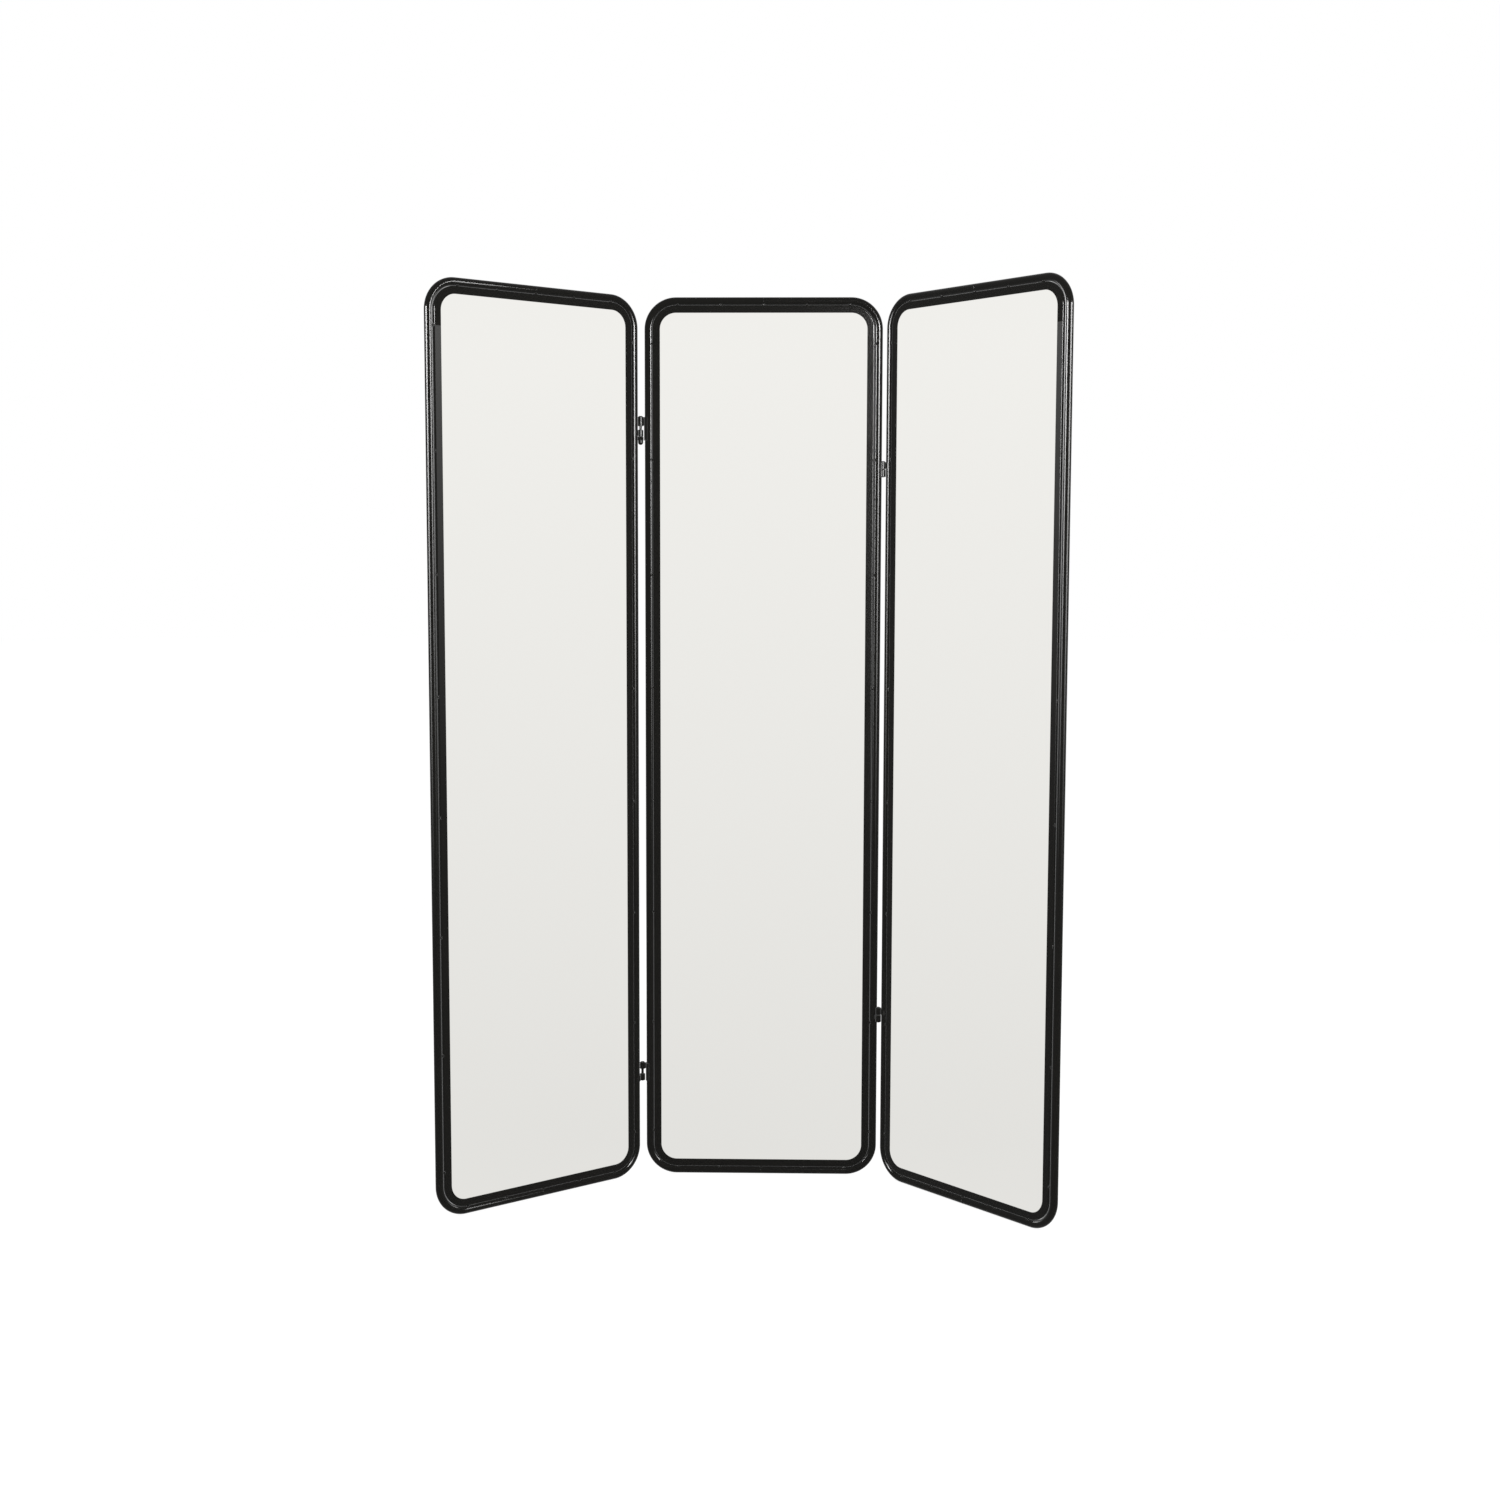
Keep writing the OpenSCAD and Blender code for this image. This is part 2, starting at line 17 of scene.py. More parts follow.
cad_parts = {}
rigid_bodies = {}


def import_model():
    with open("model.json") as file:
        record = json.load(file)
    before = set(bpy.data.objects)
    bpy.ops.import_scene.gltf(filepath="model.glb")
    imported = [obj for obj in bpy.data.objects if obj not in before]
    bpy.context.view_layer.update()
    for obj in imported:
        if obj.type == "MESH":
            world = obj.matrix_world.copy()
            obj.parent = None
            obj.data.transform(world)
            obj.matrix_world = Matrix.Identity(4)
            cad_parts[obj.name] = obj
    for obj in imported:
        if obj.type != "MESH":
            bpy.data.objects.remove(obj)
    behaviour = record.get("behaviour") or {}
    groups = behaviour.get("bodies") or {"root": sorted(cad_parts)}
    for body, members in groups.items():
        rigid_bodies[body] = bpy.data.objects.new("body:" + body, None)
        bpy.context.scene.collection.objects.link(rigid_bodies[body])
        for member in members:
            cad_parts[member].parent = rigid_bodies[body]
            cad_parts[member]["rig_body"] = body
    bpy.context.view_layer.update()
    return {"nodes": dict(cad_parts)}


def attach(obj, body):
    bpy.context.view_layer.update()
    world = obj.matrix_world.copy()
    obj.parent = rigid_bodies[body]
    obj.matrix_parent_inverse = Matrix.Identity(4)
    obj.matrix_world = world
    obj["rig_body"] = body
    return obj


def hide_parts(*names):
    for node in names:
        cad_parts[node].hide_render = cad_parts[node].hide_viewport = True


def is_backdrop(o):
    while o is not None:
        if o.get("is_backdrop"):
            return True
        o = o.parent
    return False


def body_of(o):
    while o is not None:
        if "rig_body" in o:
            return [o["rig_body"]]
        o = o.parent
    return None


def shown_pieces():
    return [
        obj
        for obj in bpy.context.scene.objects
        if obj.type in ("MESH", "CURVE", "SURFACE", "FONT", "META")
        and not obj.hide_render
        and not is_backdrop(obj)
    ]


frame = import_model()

bl_info = {
    "name": "Three Panel Floor Mirror",
    "version": (1, 0, 0),
    "blender": (4, 5, 0),
    "location": "View3D > Sidebar > Floor Mirror",
    "description": "Finishes a floor mirror of three hinged panels in bent tube frames",
    "category": "Object",
}

UP = Vector((0, 0, 1))
WHITE = (1, 1, 1, 1)

PANELS = ("centre", "left", "right")

# Each panel's tube halves, from its -X side to its +X side
TUBES = {
    "centre": ("centre_tube_left", "centre_tube_right"),
    "left": ("left_tube_outer", "left_tube_inner"),
    "right": ("right_tube_inner", "right_tube_outer"),
}

# A point this near a face or a height counts as on it
TINY = 0.00002

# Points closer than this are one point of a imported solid
SAME_POINT = TINY / 10

# Edges shorter than this are closed up before a copy's edges are rounded
SHORT_EDGE = 0.00005

# Faces that meet at a greater angle than this have a sharp edge between them
CREASE = math.radians(40)

# A short straight beside each bend of a tube, which keeps the shading of its long runs plain
TUBE_GUARD = 0.004

# Faces round a tack or butt weld, parts of a butt weld's arc, and faces round a screw
BEAD_STEPS = 12
BUTT_WELD_STEPS = 24
SCREW_STEPS = 20

# Depth of a screw's cross recess
RECESS_DEPTH = 0.0009

# Heights of the grain that the hardboard, the rubber and the zinc plate show
PRINT_DEPTH = 0.00018
RUBBER_GRAIN = 0.00005
ZINC_GRAIN = 0.00002

FLOOR_RADIUS = 30
FLOOR_SIDES = 96

# How bright the room looks in a mirror at the horizon, and how much it gains straight up
HORIZON_GLOW = 0.967
SKY_GAIN = 0.3

# In a mirror the floor looks darker than the horizon by FLOOR_LOSS / (distance + FLOOR_REACH)
FLOOR_LOSS = 0.356
FLOOR_REACH = 3.69

# How much of the lit floor, with its shadow, shows through the white that the camera sees
FLOOR_SHADE = 0.3

# Every lamp stands this far from the mirror's middle
LAMP_DISTANCE = 3.2

# The square softboxes that light the mirror: their side, the height of their middles, and the
# azimuth of each to the right of the front
SOFTBOX_SIZE = 2.0
SOFTBOX_MIDDLE = 2.4
SOFTBOXES = (("front_softbox", 20), ("back_softbox", 200))

# The windows that show as glints in the paint: azimuth to the right of the front, share of the
# glints' brightness, and how the names of the pieces start that show each window. The wings hide
# the front windows from the centre's inner stiles, which show them by way of the wings' mirrors.
# Each wing's outer tube shows the far side's window twice, the second time by the centre's
# mirror. The pale walls show on the flat faces of the wings' outer bands.
WINDOW_WIDTH = 1.6
WINDOW_HEIGHT = 2.3
WINDOWS = (
    ("right_window", 24, 1.0, ("left_tube_inner", "left_band_inner", "left_band_top",
                               "left_band_bottom", "left_rippled", "left_upper_hinge",
                               "left_lower_hinge", "centre_tube_right", "centre_band_",
                               "centre_rippled", "right_upper_hinge", "right_lower_hinge")),
    ("side_window", 52, 0.7, ("left_tube_outer", "right_tube_outer")),
    ("left_window", -50, 1.0, ("right_", "left_tube_outer")),
    ("side_window_in_centre", 127, 0.25, ("left_tube_outer",)),
    ("left_window_in_centre", -127, 0.25, ("right_tube_outer",)),
    ("window_in_right_wing", 78, 0.95, ("centre_tube_left",)),
    ("window_in_left_wing", -86, 1.1, ("centre_tube_right",)),
    ("pale_wall_in_right_wing", 68, 0.07, ("left_band_outer",)),
    ("pale_wall_in_left_wing", -89, 0.045, ("right_band_outer",)),
)


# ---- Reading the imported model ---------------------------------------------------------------


def node_points(node):
    """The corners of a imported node's faces."""
    return [v.co.copy() for v in frame["nodes"][node].data.vertices]


def spread(points, direction):
    """The lowest and highest reach of some points along a direction."""
    reach = [p.dot(direction) for p in points]
    return min(reach), max(reach)


class PanelFrame:
    """A panel's own frame and sizes, read from its packed tubes and glass.

    X runs across the panel, Y up it and Z to its front. The tubes' centres lie at Z = 0.
    """

    def __init__(self, panel):
        self.name = panel
        glass = frame["nodes"][panel + "_mirror_glass"].data
        facing = max((f for f in glass.polygons if f.normal.y < 0), key=lambda f: f.area)
        self.front = facing.normal.copy()
        self.across = UP.cross(self.front)
        points = [p for node in TUBES[panel] for p in node_points(node)]
        left, right = spread(points, self.across)
        back, fore = spread(points, self.front)
        self.height = spread(points, UP)[1]
        self.tube_r = (fore - back) / 2
        self.half_w = (right - left) / 2 - self.tube_r
        top_line = [p for p in points if p.z > self.height - TINY]
        self.corner_r = right - spread(top_line, self.across)[1]
        axes = Matrix((self.across, UP, self.front)).transposed().to_4x4()
        middle = self.across * (left + right) / 2 + self.front * (back + fore) / 2
        self.matrix = Matrix.Translation(middle) @ axes

    def islands(self, node):
        """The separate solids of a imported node, each as its points in the panel's frame."""
        copy = bmesh.new()
        copy.from_mesh(frame["nodes"][node].data)
        bmesh.ops.remove_doubles(copy, verts=copy.verts, dist=SAME_POINT)
        home = self.matrix.inverted()
        found = []
        left = set(copy.verts)
        while left:
            todo = [left.pop()]
            island = []
            while todo:
                vert = todo.pop()
                island.append(home @ vert.co)
                beside = {e.other_vert(vert) for e in vert.link_edges} & left
                left -= beside
                todo.extend(beside)
            found.append(island)
        copy.free()
        return found


# ---- Building node trees --------------------------------------------------------------------


class Value:
    """A socket of a node tree. Python's operators on it add Math nodes."""

    def __init__(self, nodes, socket):
        self.nodes = nodes
        self.socket = socket

    def beside(self, name):
        """Another output of the node that this one belongs to."""
        return Value(self.nodes, self.socket.node.outputs[name])

    def __add__(self, other):
        return self.nodes.math("ADD", self, other)

    __radd__ = __add__

    def __sub__(self, other):
        return self.nodes.math("SUBTRACT", self, other)

    def __rsub__(self, other):
        return self.nodes.math("SUBTRACT", other, self)

    def __mul__(self, other):
        return self.nodes.math("MULTIPLY", self, other)

    __rmul__ = __mul__

    def __truediv__(self, other):
        return self.nodes.math("DIVIDE", self, other)

    def __rtruediv__(self, other):
        return self.nodes.math("DIVIDE", other, self)

    def __pow__(self, other):
        return self.nodes.math("POWER", self, other)

    def __gt__(self, other):
        return self.nodes.math("GREATER_THAN", self, other)

    def __lt__(self, other):
        return self.nodes.math("LESS_THAN", self, other)


class Nodes:
    """Adds nodes to one tree, of a material, the world or Geometry Nodes."""

    def __init__(self, tree):
        self.tree = tree

    def add(self, kind, settings=None, sockets=None, output=0):
        """Adds a node, its settings first and then its sockets' values or links."""
        node = self.tree.nodes.new(kind)
        for name, value in (settings or {}).items():
            setattr(node, name, value)
        for key, value in (sockets or {}).items():
            self.feed(node.inputs[key], value)
        return Value(self, node.outputs[output])

    def feed(self, socket, value):
        """Links a value to a socket, or sets the socket to a plain one."""
        if isinstance(value, Value):
            self.tree.links.new(value.socket, socket)
        else:
            socket.default_value = value

    def math(self, operation, first, second=0.0):
        """A Math node."""
        return self.add("ShaderNodeMath", {"operation": operation}, {0: first, 1: second})

    def dot(self, first, second):
        """The dot product of two vectors."""
        settings = {"operation": "DOT_PRODUCT"}
        return self.add("ShaderNodeVectorMath", settings, {0: first, 1: second}, "Value")

    def blend(self, share, first, second):
        """A colour that goes from the first to the second as share goes from 0 to 1."""
        sockets = {"Factor": share, 6: opaque(first), 7: opaque(second)}
        return self.add("ShaderNodeMix", {"data_type": "RGBA"}, sockets, 2)

    def noise(self, place, size, detail=2.0):
        """Noise from 0 to 1 whose blotches are about as large as size."""
        sockets = {"Vector": place, "Scale": 1 / size, "Detail": detail}
        return self.add("ShaderNodeTexNoise", None, sockets)

    def bump(self, height, depth):
        """Raises the surface by up to depth where height is 1."""
        return self.add("ShaderNodeBump", None, {"Height": height, "Distance": depth})


def opaque(colour):
    """A colour as a shader socket wants it, with its alpha."""
    return colour if isinstance(colour, Value) else (*colour, 1.0)


def shaded(colour, share):
    """A colour made darker or paler by one share."""
    return tuple(min(1.0, part * share) for part in colour)


def new_material(name):
    """A new material with its nodes and its Principled shader."""
    material = bpy.data.materials.new(name)
    material.use_nodes = True
    shader = material.node_tree.nodes["Principled BSDF"]
    return material, Nodes(material.node_tree), shader


def object_place(nodes):
    """Where a point lies, in metres, as its piece's own coordinates."""
    return nodes.add("ShaderNodeTexCoord", output="Object")


def new_geometry_tree(name, inputs):
    """A geometry tree with named inputs, its nodes and the outputs of its input node."""
    tree = bpy.data.node_groups.new(name, "GeometryNodeTree")
    face = tree.interface
    face.new_socket("Geometry", in_out="INPUT", socket_type="NodeSocketGeometry")
    for title, kind in inputs.items():
        face.new_socket(title, in_out="INPUT", socket_type="NodeSocket" + kind)
    face.new_socket("Geometry", in_out="OUTPUT", socket_type="NodeSocketGeometry")
    nodes = Nodes(tree)
    source = nodes.add("NodeGroupInput")
    given = {title: source.beside(title) for title in ("Geometry", *inputs)}
    return tree, nodes, given


def end_tree(nodes, geometry, material):
    """Ends a geometry tree with real faces in one material."""
    real = nodes.add("GeometryNodeRealizeInstances", None, {"Geometry": geometry})
    finished = nodes.add("GeometryNodeSetMaterial", None, {"Geometry": real, "Material": material})
    sink = nodes.tree.nodes.new("NodeGroupOutput")
    nodes.feed(sink.inputs["Geometry"], finished)


def run_tree(source, tree, values):
    """Puts a geometry tree on an object and sets the tree's inputs by their identifiers."""
    modifier = source.modifiers.new(tree.name, "NODES")
    modifier.node_group = tree
    for item in tree.interface.items_tree:
        if item.in_out == "INPUT" and item.name in values:
            modifier[item.identifier] = values[item.name]


# ---- Making pieces --------------------------------------------------------------------------


def new_object(name, mesh):
    """A new object in the scene, made of a mesh."""
    made = bpy.data.objects.new(name, mesh)
    bpy.context.scene.collection.objects.link(made)
    return made


def line_object(name, lines, attribute=None):
    """An object of open lines. Each line is its points, or (point, value) with an attribute."""
    mesh = bpy.data.meshes.new(name)
    points, edges, values = [], [], []
    for line in lines:
        first = len(points)
        for i, point in enumerate(line):
            if attribute:
                point, value = point
                values.append(value)
            points.append(point)
            if i:
                edges.append((first + i - 1, first + i))
    mesh.from_pydata(points, edges, [])
    if attribute:
        mesh.attributes.new(attribute, "FLOAT", "POINT").data.foreach_set("value", values)
    return new_object(name, mesh)


def finish_piece(source, name, node, place=None):
    """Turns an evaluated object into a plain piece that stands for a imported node."""
    depsgraph = bpy.context.evaluated_depsgraph_get()
    mesh = bpy.data.meshes.new_from_object(source.evaluated_get(depsgraph), depsgraph=depsgraph)
    bpy.data.objects.remove(source)
    mesh.name = name
    if place:
        mesh.transform(place)
    for attribute in [a for a in mesh.attributes if a.name in ("bead_radius", "aim")]:
        mesh.attributes.remove(attribute)
    if not mesh.has_custom_normals:
        mesh.set_sharp_from_angle(angle=CREASE)
    piece = new_object(name, mesh)
    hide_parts(node)
    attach(piece, body_of(frame["nodes"][node])[0])
    return piece


def soften_edges(node, radius, material):
    """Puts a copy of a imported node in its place, with its edges rounded to a radius."""
    solid = bmesh.new()
    solid.from_mesh(frame["nodes"][node].data)
    bmesh.ops.remove_doubles(solid, verts=solid.verts, dist=SHORT_EDGE)
    bmesh.ops.dissolve_degenerate(solid, edges=solid.edges, dist=SHORT_EDGE)
    bmesh.ops.dissolve_limit(
        solid, angle_limit=math.radians(1), verts=solid.verts, edges=solid.edges)
    for face in solid.faces:
        face.smooth = True
    mesh = bpy.data.meshes.new(node + "_copy")
    solid.to_mesh(mesh)
    solid.free()
    mesh.materials.append(material)
    copy = new_object(node + "_copy", mesh)
    bevel = copy.modifiers.new("Soft edges", "BEVEL")
    bevel.width = radius
    bevel.segments = 3
    bevel.limit_method = "ANGLE"
    bevel.angle_limit = CREASE
    copy.modifiers.new("Flat faces stay flat", "WEIGHTED_NORMAL").keep_sharp = False
    return finish_piece(copy, node + "_softened", node)


def give_material(material, nodes):
    """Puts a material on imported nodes, in place of the plain one."""
    for node in nodes:
        packed = frame["nodes"][node]
        packed.data.materials.clear()
        packed.data.materials.append(material)


# ---- Sizes and colours that a user would change ---------------------------------------------


class PaintSettings(bpy.types.PropertyGroup):
    colour: FloatVectorProperty(
        name="Colour", description="Colour of the paint on the frames and hinges",
        subtype="COLOR", min=0, max=1, default=(0.0085, 0.008, 0.0068))
    roughness: FloatProperty(
        name="Roughness", description="How dull the paint is", min=0, max=1, default=0.11)
    gloss: FloatProperty(
        name="Gloss", description="How much light the paint's surface throws back",
        min=0, max=1, default=0.08)
    edge_radius: FloatProperty(
        name="Edge radius", description="Radius of the painted edges of bands and beads",
        unit="LENGTH", min=0.00005, max=0.001, default=0.00025)
    hinge_edge_radius: FloatProperty(
        name="Hinge edge radius", description="Radius of the painted edges of the hinges",
        unit="LENGTH", min=0.00005, max=0.0002, default=0.0001)
    peel_size: FloatProperty(
        name="Orange peel size", description="Distance between the paint's ripples",
        unit="LENGTH", min=0.0003, max=0.01, default=0.0028)
    peel_depth: FloatProperty(
        name="Orange peel depth", description="Height of the paint's ripples",
        unit="LENGTH", min=0, max=0.001, default=0.000006)


class GlassSettings(bpy.types.PropertyGroup):
    silver: FloatVectorProperty(
        name="Silver", description="Share of each colour that the mirrors throw back",
        subtype="COLOR", min=0, max=1, default=(0.874, 0.866, 0.834))
    edge: FloatVectorProperty(
        name="Edge", description="Colour of the glass seen through its edge",
        subtype="COLOR", min=0, max=1, default=(0.16, 0.27, 0.22))
    back: FloatVectorProperty(
        name="Back", description="Colour of the paint that guards the silver",
        subtype="COLOR", min=0, max=1, default=(0.17, 0.18, 0.19))
    haze: FloatProperty(
        name="Haze", description="Roughness of the silvered face",
        min=0, max=0.2, default=0.012)


class BackSettings(bpy.types.PropertyGroup):
    board: FloatVectorProperty(
        name="Board", description="Colour of the hardboard behind the glass",
        subtype="COLOR", min=0, max=1, default=(0.105, 0.066, 0.040))
    fibre: FloatVectorProperty(
        name="Fibre", description="Colour of the paler fibres in the hardboard",
        subtype="COLOR", min=0, max=1, default=(0.23, 0.155, 0.095))
    mesh_pitch: FloatProperty(
        name="Mesh pitch", description="Pitch of the screen's print in the hardboard",
        unit="LENGTH", min=0.0005, max=0.01, default=0.0022)
    rubber: FloatVectorProperty(
        name="Rubber", description="Colour of the setting blocks",
        subtype="COLOR", min=0, max=1, default=(0.022, 0.022, 0.023))
    steel: FloatVectorProperty(
        name="Steel", description="Colour of the zinc-plated screws and sleeves",
        subtype="COLOR", min=0, max=1, default=(0.58, 0.58, 0.565))


class TubeSettings(bpy.types.PropertyGroup):
    wall: FloatProperty(
        name="Wall", description="Wall of the round tube",
        unit="LENGTH", min=0.0005, max=0.003, default=0.0012)
    section_steps: IntProperty(
        name="Section steps", description="Faces round the tube", min=12, max=128, default=48)
    bend_steps: IntProperty(
        name="Bend steps", description="Faces along each bend", min=4, max=64, default=24)


class WeldSettings(bpy.types.PropertyGroup):
    tack_radius: FloatProperty(
        name="Tack radius", description="Radius of a tack weld between tube and band",
        unit="LENGTH", min=0.0005, max=0.004, default=0.002)
    butt_radius: FloatProperty(
        name="Butt weld radius", description="Radius of the bead round a tube's butt joint",
        unit="LENGTH", min=0.0005, max=0.004, default=0.0014)
    ripple_pitch: FloatProperty(
        name="Ripple pitch", description="Distance between a weld's ripples",
        unit="LENGTH", min=0.0003, max=0.003, default=0.001)
    ripple_depth: FloatProperty(
        name="Ripple depth", description="Share of a weld's radius that its ripples take",
        min=0, max=0.4, default=0.07)


class ScrewSettings(bpy.types.PropertyGroup):
    recess_width: FloatProperty(
        name="Recess width", description="Width of each arm of the cross recess",
        unit="LENGTH", min=0.0002, max=0.002, default=0.0007)
    recess_span: FloatProperty(
        name="Recess span", description="Length of the cross recess from end to end",
        unit="LENGTH", min=0.001, max=0.004, default=0.0028)
    thread_pitch: FloatProperty(
        name="Thread pitch", description="Distance between the turns of the thread",
        unit="LENGTH", min=0.0003, max=0.002, default=0.0007)


class StudioSettings(bpy.types.PropertyGroup):
    floor: FloatVectorProperty(
        name="Floor", description="Colour of the studio floor",
        subtype="COLOR", min=0, max=1, default=(0.82, 0.82, 0.815))
    softbox: FloatProperty(
        name="Softboxes", description="Brightness of the softboxes at the front and the back",
        min=0, max=50, default=5.5)
    glints: FloatProperty(
        name="Glints", description="Brightness of the windows that show as glints in the paint",
        min=0, max=500, default=180)
    fill: FloatProperty(
        name="Fill", description="Brightness of the room on dull surfaces",
        min=0, max=2, default=0.38)
    camera_place: FloatVectorProperty(
        name="Camera place", description="Where the camera stands",
        subtype="TRANSLATION", default=(0.0806, -3.5192, 1.18751))
    camera_pitch: FloatProperty(
        name="Camera pitch", description="How far the camera looks up",
        subtype="ANGLE", default=-0.09411)
    camera_yaw: FloatProperty(
        name="Camera yaw", description="How far the camera looks to the right",
        subtype="ANGLE", default=-0.02091)
    camera_roll: FloatProperty(
        name="Camera roll", description="How far the camera leans",
        subtype="ANGLE", default=0.00231)
    lens: FloatProperty(
        name="Lens", description="Focal length on a sensor 36 mm wide, in mm",
        min=10, max=200, default=45.96)


SETTINGS = {
    "mirror_paint": PaintSettings,
    "mirror_glass": GlassSettings,
    "mirror_back": BackSettings,
    "mirror_tubes": TubeSettings,
    "mirror_welds": WeldSettings,
    "mirror_screws": ScrewSettings,
    "mirror_studio": StudioSettings,
}


# ---- Finishes -------------------------------------------------------------------------------


def black_paint(settings):
    """Semi-gloss black paint with a fine orange peel and a tone that drifts a little.

    It is made once, and the frames, the welds and the hinges share it.
    """
    if "semi_gloss_black" in bpy.data.materials:
        return bpy.data.materials["semi_gloss_black"]
    material, nodes, shader = new_material("semi_gloss_black")
    place = object_place(nodes)
    drift = nodes.noise(place, size=0.08, detail=3.0)
    dust = nodes.noise(place, size=0.004, detail=4.0)
    tone = drift * 0.7 + dust * 0.3
    dark, pale = shaded(settings.colour, 0.75), shaded(settings.colour, 1.3)
    nodes.feed(shader.inputs["Base Color"], nodes.blend(tone, dark, pale))
    nodes.feed(shader.inputs["Roughness"], settings.roughness + (tone - 0.5) * 0.06)
    peel = nodes.noise(place, settings.peel_size, detail=1.0)
    nodes.feed(shader.inputs["Normal"], nodes.bump(peel, settings.peel_depth))
    shader.inputs["Specular IOR Level"].default_value = settings.gloss
    return material


def silvered_glass(panel, settings):
    """Clear glass with silver seen through its front, guard paint behind and green edges."""
    material, nodes, shader = new_material(panel.name + "_silvered_glass")
    back, front = spread(node_points(panel.name + "_mirror_glass"), panel.front)
    place = object_place(nodes)
    depth = nodes.dot(place, panel.front)
    is_front = depth > front - TINY
    is_back = depth < back + TINY
    mottle = nodes.noise(place, size=0.01, detail=3.0)
    guard = nodes.blend(mottle, shaded(settings.back, 0.85), shaded(settings.back, 1.15))
    behind = nodes.blend(is_back, settings.edge, guard)
    nodes.feed(shader.inputs["Base Color"], nodes.blend(is_front, behind, settings.silver))
    nodes.feed(shader.inputs["Metallic"], is_front)
    smear = nodes.noise(place, size=0.25) * settings.haze * 0.5 + settings.haze * 0.5
    dull = is_back * 0.45 + 0.12
    nodes.feed(shader.inputs["Roughness"], dull + is_front * (smear - dull))
    return material


def hardboard(panel, settings):
    """Dark hardboard: pressed fibres, a few paler ones, and the print of the press's screen."""
    material, nodes, shader = new_material(panel.name + "_hardboard")
    place = object_place(nodes)
    fibres = nodes.noise(place, size=0.0016, detail=6.0)
    clouds = nodes.noise(place, size=0.12, detail=3.0)
    pale = (fibres - 0.5) * 1.7 + 0.38 + (clouds - 0.5) * 0.5
    nodes.feed(shader.inputs["Base Color"], nodes.blend(pale, settings.board, settings.fibre))
    turn = 2 * math.pi / settings.mesh_pitch
    across = nodes.math("SINE", nodes.dot(place, panel.across) * turn)
    up = nodes.math("SINE", nodes.dot(place, UP) * turn)
    nodes.feed(shader.inputs["Roughness"], 0.62 + (fibres - 0.5) * 0.3)
    print_height = across * up * 0.5 + fibres
    nodes.feed(shader.inputs["Normal"], nodes.bump(print_height, PRINT_DEPTH))
    shader.inputs["Specular IOR Level"].default_value = 0.25
    return material


def block_rubber(settings):
    """Matt black rubber, dusted by its mould."""
    material, nodes, shader = new_material("block_rubber")
    place = object_place(nodes)
    grain = nodes.noise(place, size=0.0009, detail=4.0)
    dusted = shaded(settings.rubber, 2.2)
    nodes.feed(shader.inputs["Base Color"], nodes.blend(grain, settings.rubber, dusted))
    nodes.feed(shader.inputs["Roughness"], 0.7 + grain * 0.2)
    nodes.feed(shader.inputs["Normal"], nodes.bump(grain, RUBBER_GRAIN))
    return material


def zinc_plate(settings):
    """Zinc-plated steel: dull, with the faint blotches of its bath."""
    material, nodes, shader = new_material("zinc_plate")
    place = object_place(nodes)
    bath = nodes.noise(place, size=0.003, detail=4.0)
    fine = nodes.noise(place, size=0.0004)
    dull, bright = shaded(settings.steel, 0.8), shaded(settings.steel, 1.15)
    nodes.feed(shader.inputs["Base Color"], nodes.blend(bath, dull, bright))
    nodes.feed(shader.inputs["Roughness"], 0.28 + bath * 0.2)
    nodes.feed(shader.inputs["Normal"], nodes.bump(fine, ZINC_GRAIN))
    shader.inputs["Metallic"].default_value = 1.0
    return material


# ---- Pieces made by Geometry Nodes ----------------------------------------------------------


def bent_tube_tree():
    """Sweeps a circle along a tube's centre line."""
    tree, nodes, given = new_geometry_tree("Bent tube", {
        "Diameter": "Float", "Section Steps": "Int", "Paint": "Material"})
    line = nodes.add("GeometryNodeMeshToCurve", None, {"Mesh": given["Geometry"]})
    section = nodes.add("GeometryNodeCurvePrimitiveCircle", None, {
        "Resolution": given["Section Steps"], "Radius": given["Diameter"] / 2})
    swept = nodes.add("GeometryNodeCurveToMesh", None, {"Curve": line, "Profile Curve": section})
    end_tree(nodes, swept, given["Paint"])
    return tree


def tube_line(panel, side, bend_steps):
    """The centre line of a tube half, from the middle of the top to the middle of the bottom."""
    radius = panel.corner_r - panel.tube_r
    level = panel.height / 2 - panel.tube_r
    middle = panel.height / 2
    line = [(0, middle + level, 0)]
    for end in (1, -1):
        centre_x = panel.half_w - radius
        centre_y = middle + end * (level - radius)
        bend = [(centre_x - TUBE_GUARD, centre_y + end * radius)]
        for i in range(bend_steps + 1):
            angle = math.pi / 2 * (1 - i / bend_steps)
            bend.append((centre_x + radius * math.cos(angle),
                         centre_y + end * radius * math.sin(angle)))
        bend.append((centre_x + radius, centre_y - end * TUBE_GUARD))
        line += [(side * x, y, 0) for x, y in bend[::end]]
    line.append((0, middle - level, 0))
    return line


def make_tube_half(panel, side, node, tree, settings, paint):
    """One half of a panel's outer tube, at its -X side for side -1 or its +X side for 1."""
    path = line_object(node + "_path", [tube_line(panel, side, settings.bend_steps)])
    run_tree(path, tree, {
        "Diameter": 2 * panel.tube_r, "Section Steps": settings.section_steps, "Paint": paint})
    hollow = path.modifiers.new("Tube wall", "SOLIDIFY")
    hollow.thickness = settings.wall
    hollow.offset = -1
    hollow.use_even_offset = True
    return finish_piece(path, node + "_finished", node, panel.matrix)


def box_of(island):
    """The lowest and highest corners of the box round some points, and its middle."""
    lows = [min(p[i] for p in island) for i in range(3)]
    highs = [max(p[i] for p in island) for i in range(3)]
    return lows, highs, [(low + high) / 2 for low, high in zip(lows, highs)]


